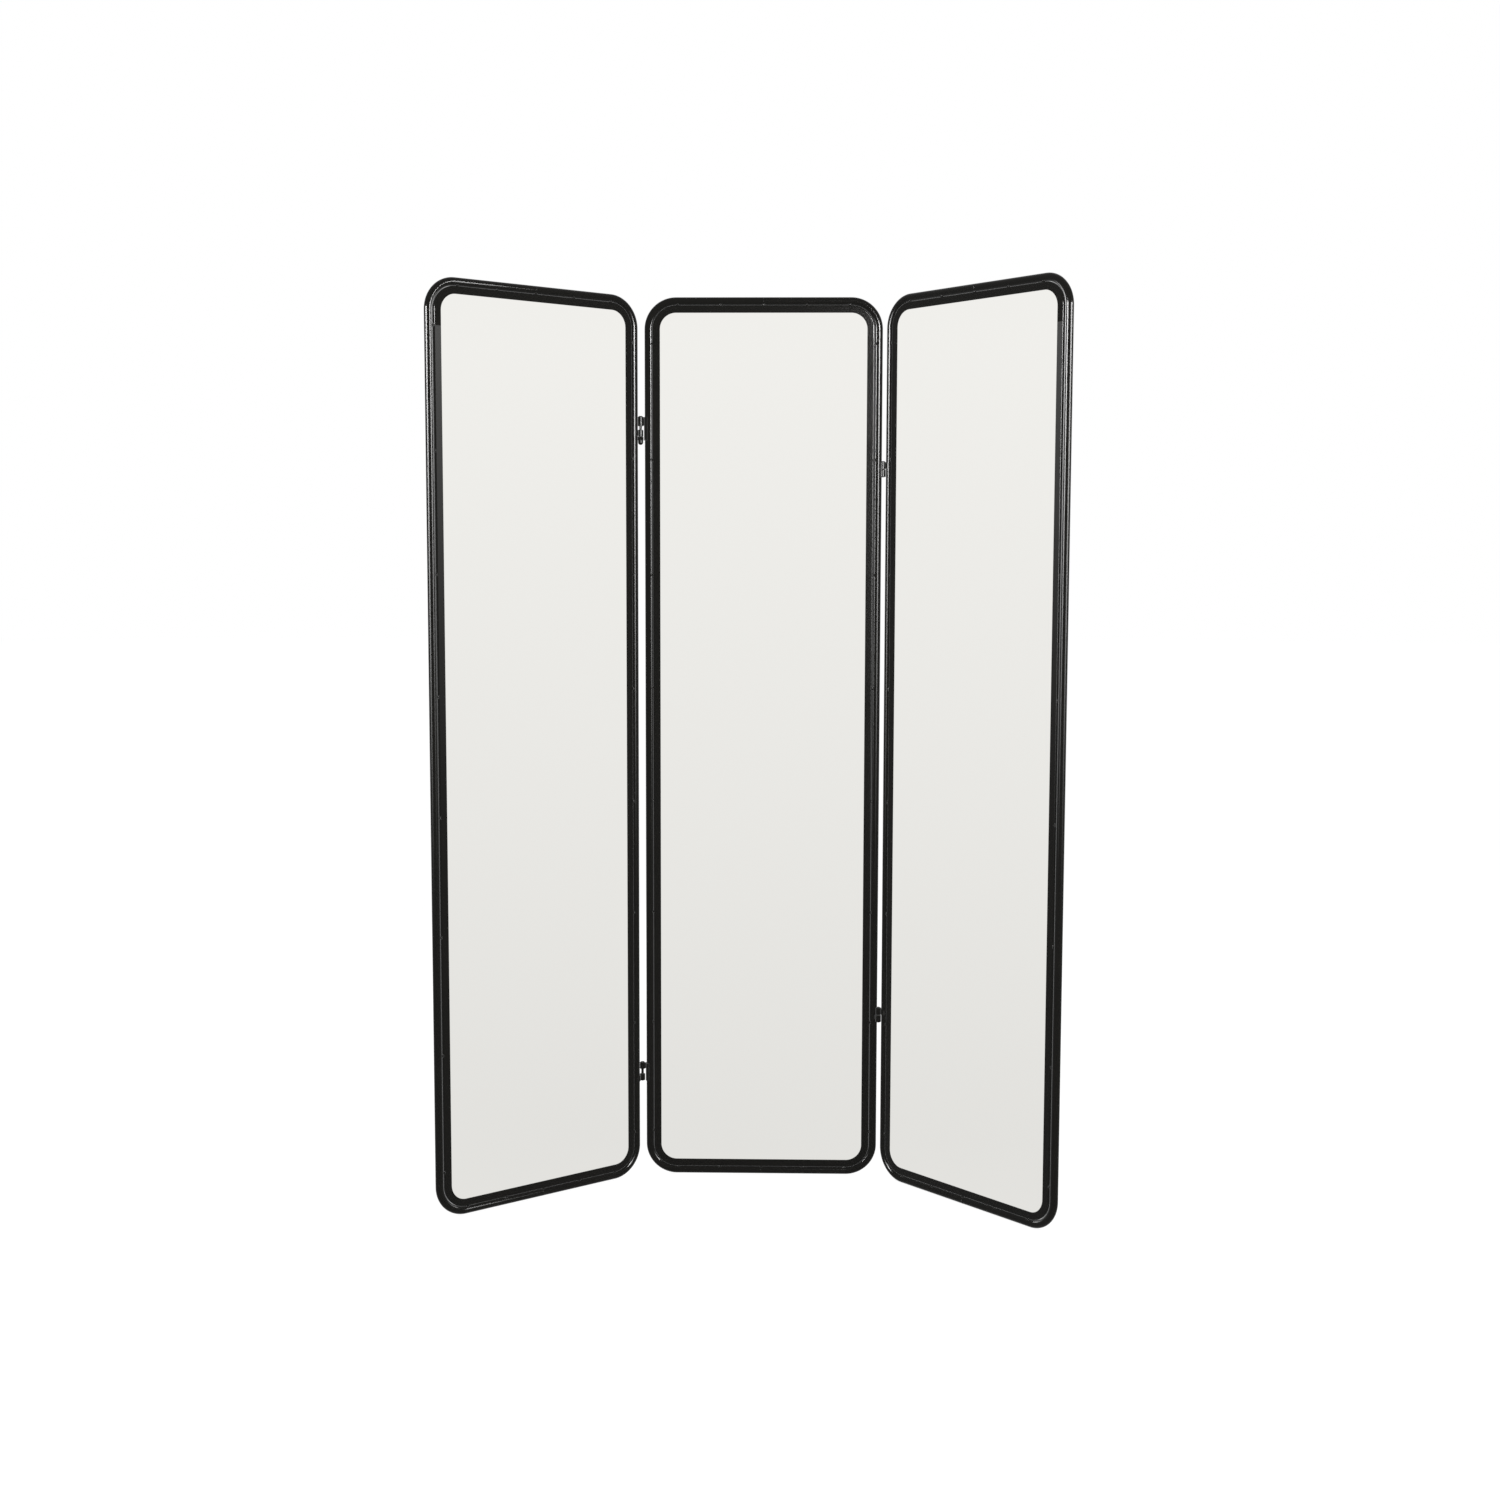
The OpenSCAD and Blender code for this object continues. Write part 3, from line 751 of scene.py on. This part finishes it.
def weld_line(panel, island, settings):
    """The centre line of one weld and the bead's radius along it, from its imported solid.

    A butt weld lies on the tube's own line, and a tack weld in the groove inside the tube.
    """
    lows, highs, (x, y, _) = box_of(island)
    middle_y = panel.height / 2
    tube_y = middle_y - panel.tube_r
    beyond_side = abs(x) - panel.half_w
    beyond_end = abs(y - middle_y) - tube_y
    end = math.copysign(1, y - middle_y)
    if beyond_end > -panel.tube_r / 2:
        return butt_weld_line(island, middle_y + end * tube_y, end, panel.tube_r, settings)
    depth = highs[2] - settings.tack_radius
    if beyond_end > beyond_side:
        groove = middle_y + end * (tube_y - panel.tube_r)
        ends = [(lows[0], groove, depth), (highs[0], groove, depth)]
    else:
        groove = math.copysign(panel.half_w - panel.tube_r, x)
        ends = [(groove, lows[1], depth), (groove, highs[1], depth)]
    return [(point, settings.tack_radius) for point in ends]


def butt_weld_line(island, centre_y, end, tube_r, settings):
    """An arc round a tube's butt joint, on the face of the tube where its solid lies."""
    angles = [math.atan2(abs(p[2]), end * (p[1] - centre_y)) for p in island]
    face = math.copysign(1, sum(p[2] for p in island))
    crown = max(math.hypot(p[1] - centre_y, p[2]) for p in island)
    radius = crown - settings.butt_radius
    line = []
    for i in range(BUTT_WELD_STEPS + 1):
        angle = min(angles) + (max(angles) - min(angles)) * i / BUTT_WELD_STEPS
        point = (0, centre_y + end * radius * math.cos(angle), face * radius * math.sin(angle))
        line.append((point, settings.butt_radius))
    return line


def weld_bead_tree():
    """Lays a rippled bead along each line, whose radius shrinks towards both ends."""
    tree, nodes, given = new_geometry_tree("Weld bead", {
        "Ripple Pitch": "Float", "Ripple Depth": "Float", "Section Steps": "Int",
        "Paint": "Material"})
    line = nodes.add("GeometryNodeMeshToCurve", None, {"Mesh": given["Geometry"]})
    fine = nodes.add("GeometryNodeResampleCurve", {"mode": "LENGTH"}, {
        "Curve": line, "Length": given["Ripple Pitch"] / 4})
    along = nodes.add("GeometryNodeSplineParameter")
    radius = nodes.add("GeometryNodeInputNamedAttribute", None, {"Name": "bead_radius"})
    from_middle = nodes.math("ABSOLUTE", along * 2 - 1)
    end_radius = 0.2
    rounding = nodes.math("SQRT", 1 + end_radius ** 2 - from_middle ** 6)
    turns = along.beside("Length") * (2 * math.pi) / given["Ripple Pitch"]
    ripple = 1 - given["Ripple Depth"] * (nodes.math("SINE", turns) * 0.5 + 0.5)
    section = nodes.add("GeometryNodeCurvePrimitiveCircle", None, {
        "Resolution": given["Section Steps"], "Radius": 1.0})
    bead = nodes.add("GeometryNodeCurveToMesh", None, {
        "Curve": fine, "Profile Curve": section,
        "Scale": radius * rounding * ripple, "Fill Caps": True})
    end_tree(nodes, bead, given["Paint"])
    return tree


def make_welds(panel, tree, settings, paint):
    """A panel's tack welds and butt welds, as one piece."""
    node = panel.name + "_weld_beads"
    lines = [weld_line(panel, island, settings) for island in panel.islands(node)]
    source = line_object(node + "_lines", lines, "bead_radius")
    run_tree(source, tree, {
        "Ripple Pitch": settings.ripple_pitch, "Ripple Depth": settings.ripple_depth,
        "Section Steps": BEAD_STEPS, "Paint": paint})
    return finish_piece(source, panel.name + "_rippled_welds", node, panel.matrix)


def turned(name, outline, steps):
    """A solid turned on Z from its outline of (radius, height), which starts and ends at 0."""
    solid = bmesh.new()
    rings = []
    for radius, height in outline:
        if radius == 0:
            rings.append([solid.verts.new((0, 0, height))])
            continue
        turns = (2 * math.pi * i / steps for i in range(steps))
        rings.append([solid.verts.new((radius * math.cos(a), radius * math.sin(a), height))
                      for a in turns])
    for low, high in zip(rings, rings[1:]):
        for i in range(steps):
            corners = [low[i % len(low)], low[(i + 1) % len(low)],
                       high[(i + 1) % len(high)], high[i % len(high)]]
            solid.faces.new(list(dict.fromkeys(corners)))
    bmesh.ops.recalc_face_normals(solid, faces=solid.faces)
    mesh = bpy.data.meshes.new(name)
    solid.to_mesh(mesh)
    solid.free()
    return new_object(name, mesh)


def cross_cutter(span, width, depth):
    """The shape that cuts a cross recess, centred on Z at height 0 and narrower below."""
    narrowing = 0.55
    solid = bmesh.new()
    arm, half = span / 2, width / 2
    corners = [(arm, -half), (arm, half), (half, half), (half, arm), (-half, arm), (-half, half),
               (-arm, half), (-arm, -half), (-half, -half), (-half, -arm), (half, -arm),
               (half, -half)]
    top = [solid.verts.new((x, y, -depth)) for x, y in corners]
    bottom = [solid.verts.new((x * narrowing, y * narrowing, depth)) for x, y in corners]
    solid.faces.new(top)
    solid.faces.new(bottom)
    for i in range(len(corners)):
        j = (i + 1) % len(corners)
        solid.faces.new([top[i], top[j], bottom[j], bottom[i]])
    bmesh.ops.recalc_face_normals(solid, faces=solid.faces)
    mesh = bpy.data.meshes.new("cross_cutter")
    solid.to_mesh(mesh)
    solid.free()
    return new_object("cross_cutter", mesh)


def bead_screw(sample, settings):
    """A countersunk screw with its head at height 0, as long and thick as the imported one."""
    length, head_r, shank_r = sample
    pitch = settings.thread_pitch
    flat_r, rim_h = head_r * 0.97, 0.00008
    root_r, point_r = shank_r * 0.84, shank_r * 0.45
    height = head_r - shank_r
    outline = [(0, 0), (flat_r, 0), (head_r, rim_h), (shank_r, height)]
    while height + pitch < length - shank_r * 0.5:
        outline.append((root_r, height + pitch * 0.35))
        outline.append((shank_r, height + pitch * 0.8))
        height += pitch
    outline += [(root_r, height + pitch * 0.3), (point_r, length), (0, length)]
    screw = turned("bead_screw", outline, SCREW_STEPS)
    cutter = cross_cutter(settings.recess_span, settings.recess_width, RECESS_DEPTH)
    cut = screw.modifiers.new("Cross recess", "BOOLEAN")
    cut.object = cutter
    cut.solver = "EXACT"
    depsgraph = bpy.context.evaluated_depsgraph_get()
    mesh = bpy.data.meshes.new_from_object(screw.evaluated_get(depsgraph), depsgraph=depsgraph)
    bpy.data.objects.remove(screw)
    bpy.data.objects.remove(cutter)
    return new_object("bead_screw", mesh)


def screw_rows(panel, islands):
    """Each packed screw's head, the way that it points, its length and its radii."""
    rows = []
    for island in islands:
        centre = sum(island, Vector()) / len(island)
        lows, highs, middle = box_of(island)
        sizes = [high - low for low, high in zip(lows, highs)]
        axis = 0 if sizes[0] > sizes[1] else 1
        out = centre - Vector((0, panel.height / 2, 0))
        aim = Vector((0, 0, 0))
        aim[axis] = math.copysign(1, out[axis])
        head, tip = spread(island, aim)
        middle[axis] = head * aim[axis]
        at_tip = [p for p in island if p.dot(aim) > tip - TINY]
        shank_r = (max(p[2] for p in at_tip) - min(p[2] for p in at_tip)) / 2
        rows.append((Vector(middle), aim, tip - head, sizes[2] / 2, shank_r))
    return rows


def bead_screw_tree():
    """Puts a screw on each point, aimed as the point says and turned at random."""
    tree, nodes, given = new_geometry_tree("Bead screws", {
        "Screw": "Object", "Seed": "Int", "Plating": "Material"})
    screw = nodes.add("GeometryNodeObjectInfo", None, {"Object": given["Screw"]}, "Geometry")
    aim = nodes.add("GeometryNodeInputNamedAttribute", {"data_type": "FLOAT_VECTOR"}, {
        "Name": "aim"})
    angle = nodes.add("FunctionNodeRandomValue", None, {
        2: 0.0, 3: 2 * math.pi, "Seed": given["Seed"]}, 1)
    spin = nodes.add("FunctionNodeAxisAngleToRotation", None, {"Axis": (0, 0, 1), "Angle": angle})
    aimed = nodes.add("FunctionNodeAlignRotationToVector", {"axis": "Z"}, {"Vector": aim})
    turned_in = nodes.add("FunctionNodeRotateRotation", {"rotation_space": "LOCAL"}, {
        "Rotation": aimed, "Rotate By": spin})
    placed = nodes.add("GeometryNodeInstanceOnPoints", None, {
        "Points": given["Geometry"], "Instance": screw, "Rotation": turned_in})
    end_tree(nodes, placed, given["Plating"])
    return tree


def make_screws(panel, tree, settings, plating):
    """The screws through a panel's four glazing beads, as one piece."""
    node = panel.name + "_bead_screws"
    rows = screw_rows(panel, panel.islands(node))
    screw = bead_screw(rows[0][2:], settings)
    screw.data.materials.append(plating)
    source = line_object(node + "_points", [[row[0]] for row in rows])
    aims = [part for row in rows for part in row[1]]
    source.data.attributes.new("aim", "FLOAT_VECTOR", "POINT").data.foreach_set("vector", aims)
    seed = PANELS.index(panel.name) + 1
    run_tree(source, tree, {"Screw": screw, "Seed": seed, "Plating": plating})
    piece = finish_piece(source, panel.name + "_recessed_screws", node, panel.matrix)
    bpy.data.objects.remove(screw)
    return piece


# ---- Studio ---------------------------------------------------------------------------------


def seen_directly(nodes):
    """Two masks: 1 where a thing is seen, also in a mirror or through glass, and 1 straight on."""
    straight = nodes.add("ShaderNodeLightPath", output="Is Camera Ray")
    seen = straight + straight.beside("Is Glossy Ray") + straight.beside("Is Transmission Ray")
    return nodes.math("MINIMUM", seen, 1.0), straight


def studio_room(settings):
    """A white room: pure white behind the mirror, and a little greyer low in the mirrors."""
    world = bpy.data.worlds.new("Studio room")
    world.use_nodes = True
    world.node_tree.nodes.clear()
    nodes = Nodes(world.node_tree)
    seen, straight = seen_directly(nodes)
    direction = nodes.add("ShaderNodeTexCoord", output="Generated")
    height = nodes.dot(direction, UP)
    in_mirror = nodes.math("MINIMUM", height * SKY_GAIN + HORIZON_GLOW, 1.0)
    brightness = straight + (1 - straight) * in_mirror
    strength = settings.fill + seen * (brightness - settings.fill)
    shine = nodes.add("ShaderNodeBackground", None, {"Color": WHITE, "Strength": strength})
    sink = world.node_tree.nodes.new("ShaderNodeOutputWorld")
    nodes.feed(sink.inputs["Surface"], shine)
    bpy.context.scene.world = world


def studio_floor(settings):
    """A wide pale floor that keeps the mirror's shadow and fades to white for the camera."""
    solid = bmesh.new()
    bmesh.ops.create_circle(solid, cap_ends=True, segments=FLOOR_SIDES, radius=FLOOR_RADIUS)
    mesh = bpy.data.meshes.new("studio_floor")
    solid.to_mesh(mesh)
    solid.free()
    material, nodes, shader = new_material("studio_floor")
    seen, straight = seen_directly(nodes)
    place = object_place(nodes)
    distance = nodes.add("ShaderNodeVectorMath", {"operation": "LENGTH"}, {0: place}, "Value")
    in_mirror = HORIZON_GLOW - FLOOR_LOSS / (distance + FLOOR_REACH)
    lit_floor = FLOOR_SHADE * settings.floor[1] * settings.fill
    white_glow = (1 - lit_floor) / (1 - FLOOR_SHADE)
    glow = nodes.add("ShaderNodeEmission", None, {
        "Strength": straight * white_glow + (1 - straight) * in_mirror})
    scuffs = nodes.noise(place, size=0.4, detail=3.0)
    nodes.feed(shader.inputs["Base Color"],
               nodes.blend(scuffs, shaded(settings.floor, 0.98), shaded(settings.floor, 1.02)))
    shader.inputs["Roughness"].default_value = 0.9
    shader.inputs["Specular IOR Level"].default_value = 0.1
    share = seen - straight * FLOOR_SHADE
    mixed = nodes.add("ShaderNodeMixShader", None, {
        0: share, 1: Value(nodes, shader.outputs[0]), 2: glow})
    nodes.feed(material.node_tree.nodes["Material Output"].inputs["Surface"], mixed)
    mesh.materials.append(material)
    floor = new_object("studio_floor", mesh)
    floor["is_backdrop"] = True


def softbox(name, brightness, azimuth, width, height, middle_z):
    """A softbox that faces the mirror, at an azimuth counted from the front to the right."""
    data = bpy.data.lights.new(name, "AREA")
    data.shape = "RECTANGLE"
    data.size = width
    data.size_y = height
    data.energy = brightness * math.pi * width * height
    lamp = bpy.data.objects.new(name, data)
    turn = math.radians(azimuth)
    middle = Vector((0, 0, middle_z))
    lamp.location = middle + LAMP_DISTANCE * Vector((math.sin(turn), -math.cos(turn), 0))
    towards = middle - lamp.location
    lamp.rotation_euler = towards.to_track_quat("-Z", "Y").to_euler()
    bpy.context.scene.collection.objects.link(lamp)
    return lamp


def glint_window(name, brightness, azimuth, shown_on):
    """A tall window, brightest at its top, that shows only as glints in some pieces' paint.

    Only the panels of those pieces stand in its way.
    """
    window = softbox(name, brightness, azimuth, WINDOW_WIDTH, WINDOW_HEIGHT, WINDOW_HEIGHT / 2)
    window.visible_diffuse = False
    window.data.use_nodes = True
    nodes = Nodes(window.data.node_tree)
    place = nodes.add("ShaderNodeNewGeometry", output="Parametric")
    height = nodes.add("ShaderNodeSeparateXYZ", None, {0: place}, "Y")
    nodes.feed(window.data.node_tree.nodes["Emission"].inputs["Strength"], height ** 2)
    panels = tuple({piece.name.split("_")[0] for piece in shown_on})
    in_the_way = [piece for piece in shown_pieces() if piece.name.startswith(panels)]
    link_light(window.light_linking, "receiver_collection", name + "_receivers", shown_on)
    link_light(window.light_linking, "blocker_collection", name + "_blockers", in_the_way)


def link_light(linking, role, name, pieces):
    """Links a lamp to pieces, as the ones that receive its light or that block it."""
    collection = bpy.data.collections.new(name)
    for piece in pieces:
        collection.objects.link(piece)
    setattr(linking, role, collection)


def light_lamps(settings):
    """A softbox before and behind the mirror, and the windows whose glints the paint shows."""
    for name, azimuth in SOFTBOXES:
        lamp = softbox(name, settings.softbox, azimuth, SOFTBOX_SIZE, SOFTBOX_SIZE, SOFTBOX_MIDDLE)
        lamp.visible_glossy = False
    outside = ("_tube_", "_band_", "_welds", "_hinge_")
    frames = [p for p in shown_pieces() if any(part in p.name for part in outside)]
    for name, azimuth, share, starts in WINDOWS:
        shown_on = [piece for piece in frames if piece.name.startswith(starts)]
        glint_window(name, settings.glints * share, azimuth, shown_on)


def place_camera(settings):
    """A camera level with the upper part of the mirror, looking slightly down and left."""
    data = bpy.data.cameras.new("Camera")
    data.sensor_width = 36
    data.lens = settings.lens
    pitch, yaw, roll = settings.camera_pitch, settings.camera_yaw, settings.camera_roll
    looking = Vector((math.sin(yaw) * math.cos(pitch), math.cos(yaw) * math.cos(pitch),
                      math.sin(pitch)))
    level_right = Vector((math.cos(yaw), -math.sin(yaw), 0))
    level_up = level_right.cross(looking)
    right = level_right * math.cos(roll) + level_up * math.sin(roll)
    up = level_up * math.cos(roll) - level_right * math.sin(roll)
    camera = bpy.data.objects.new("Camera", data)
    turn = Matrix((right, up, -looking)).transposed().to_4x4()
    camera.matrix_world = Matrix.Translation(settings.camera_place) @ turn
    bpy.context.scene.collection.objects.link(camera)
    bpy.context.scene.camera = camera


# ---- Operators ------------------------------------------------------------------------------


class MIRROR_OT_frames(bpy.types.Operator):
    """Paint the bands and beads and make the bent tubes"""

    bl_idname = "floor_mirror.frames"
    bl_label = "Make the frames"

    def execute(self, context):
        settings = context.scene.mirror_paint
        paint = black_paint(settings)
        tree = bent_tube_tree()
        for name in PANELS:
            panel = PanelFrame(name)
            for side, node in zip((-1, 1), TUBES[name]):
                make_tube_half(panel, side, node, tree, context.scene.mirror_tubes, paint)
        for node in frame["nodes"]:
            if "_band_" in node or node.endswith("_glazing_beads"):
                soften_edges(node, settings.edge_radius, paint)
        return {"FINISHED"}


class MIRROR_OT_welds(bpy.types.Operator):
    """Lay the tack welds between tube and band and the tubes' butt welds"""

    bl_idname = "floor_mirror.welds"
    bl_label = "Make the welds"

    def execute(self, context):
        paint = black_paint(context.scene.mirror_paint)
        tree = weld_bead_tree()
        for name in PANELS:
            make_welds(PanelFrame(name), tree, context.scene.mirror_welds, paint)
        return {"FINISHED"}


class MIRROR_OT_screws(bpy.types.Operator):
    """Drive the recessed screws through the glazing beads"""

    bl_idname = "floor_mirror.screws"
    bl_label = "Make the screws"

    def execute(self, context):
        plating = zinc_plate(context.scene.mirror_back)
        tree = bead_screw_tree()
        for name in PANELS:
            make_screws(PanelFrame(name), tree, context.scene.mirror_screws, plating)
        give_material(plating, [name + "_joint_sleeves" for name in PANELS])
        return {"FINISHED"}


class MIRROR_OT_hinges(bpy.types.Operator):
    """Paint the hinges' knuckles, pins and cap nut"""

    bl_idname = "floor_mirror.hinges"
    bl_label = "Finish the hinges"

    def execute(self, context):
        settings = context.scene.mirror_paint
        paint = black_paint(settings)
        for node in frame["nodes"]:
            if "_hinge_" in node:
                soften_edges(node, settings.hinge_edge_radius, paint)
        return {"FINISHED"}


class MIRROR_OT_glass(bpy.types.Operator):
    """Silver the three mirror glasses"""

    bl_idname = "floor_mirror.glass"
    bl_label = "Finish the glass"

    def execute(self, context):
        for name in PANELS:
            silver = silvered_glass(PanelFrame(name), context.scene.mirror_glass)
            give_material(silver, [name + "_mirror_glass"])
        return {"FINISHED"}


class MIRROR_OT_backs(bpy.types.Operator):
    """Finish the backing boards and the setting blocks"""

    bl_idname = "floor_mirror.backs"
    bl_label = "Finish the backs"

    def execute(self, context):
        settings = context.scene.mirror_back
        for name in PANELS:
            give_material(hardboard(PanelFrame(name), settings), [name + "_backing_board"])
        give_material(block_rubber(settings), [name + "_setting_blocks" for name in PANELS])
        return {"FINISHED"}


class MIRROR_OT_studio(bpy.types.Operator):
    """Set up the floor, the room, the lamps and the camera"""

    bl_idname = "floor_mirror.studio"
    bl_label = "Set up the studio"

    def execute(self, context):
        settings = context.scene.mirror_studio
        context.scene.view_settings.view_transform = "Standard"
        studio_room(settings)
        studio_floor(settings)
        light_lamps(settings)
        place_camera(settings)
        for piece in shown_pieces():
            piece.visible_glossy = False
        return {"FINISHED"}


class MIRROR_PT_panel(bpy.types.Panel):
    """Lists the steps that finish the mirror"""

    bl_idname = "MIRROR_PT_panel"
    bl_label = "Floor Mirror"
    bl_space_type = "VIEW_3D"
    bl_region_type = "UI"
    bl_category = "Floor Mirror"

    def draw(self, context):
        for operator in OPERATORS:
            self.layout.operator(operator.bl_idname)
        for name, settings in SETTINGS.items():
            box = self.layout.box()
            box.label(text=settings.__name__.replace("Settings", ""))
            for prop in settings.__annotations__:
                box.prop(getattr(context.scene, name), prop)


OPERATORS = (
    MIRROR_OT_frames,
    MIRROR_OT_welds,
    MIRROR_OT_screws,
    MIRROR_OT_hinges,
    MIRROR_OT_glass,
    MIRROR_OT_backs,
    MIRROR_OT_studio,
)


def register():
    for made in (*SETTINGS.values(), *OPERATORS, MIRROR_PT_panel):
        bpy.utils.register_class(made)
    for name, settings in SETTINGS.items():
        setattr(bpy.types.Scene, name, PointerProperty(type=settings))


def unregister():
    for name in SETTINGS:
        delattr(bpy.types.Scene, name)
    for made in reversed((*SETTINGS.values(), *OPERATORS, MIRROR_PT_panel)):
        bpy.utils.unregister_class(made)


def main():
    register()
    bpy.ops.floor_mirror.frames()
    bpy.ops.floor_mirror.welds()
    bpy.ops.floor_mirror.screws()
    bpy.ops.floor_mirror.hinges()
    bpy.ops.floor_mirror.glass()
    bpy.ops.floor_mirror.backs()
    bpy.ops.floor_mirror.studio()


if __name__ == "__main__":
    main()
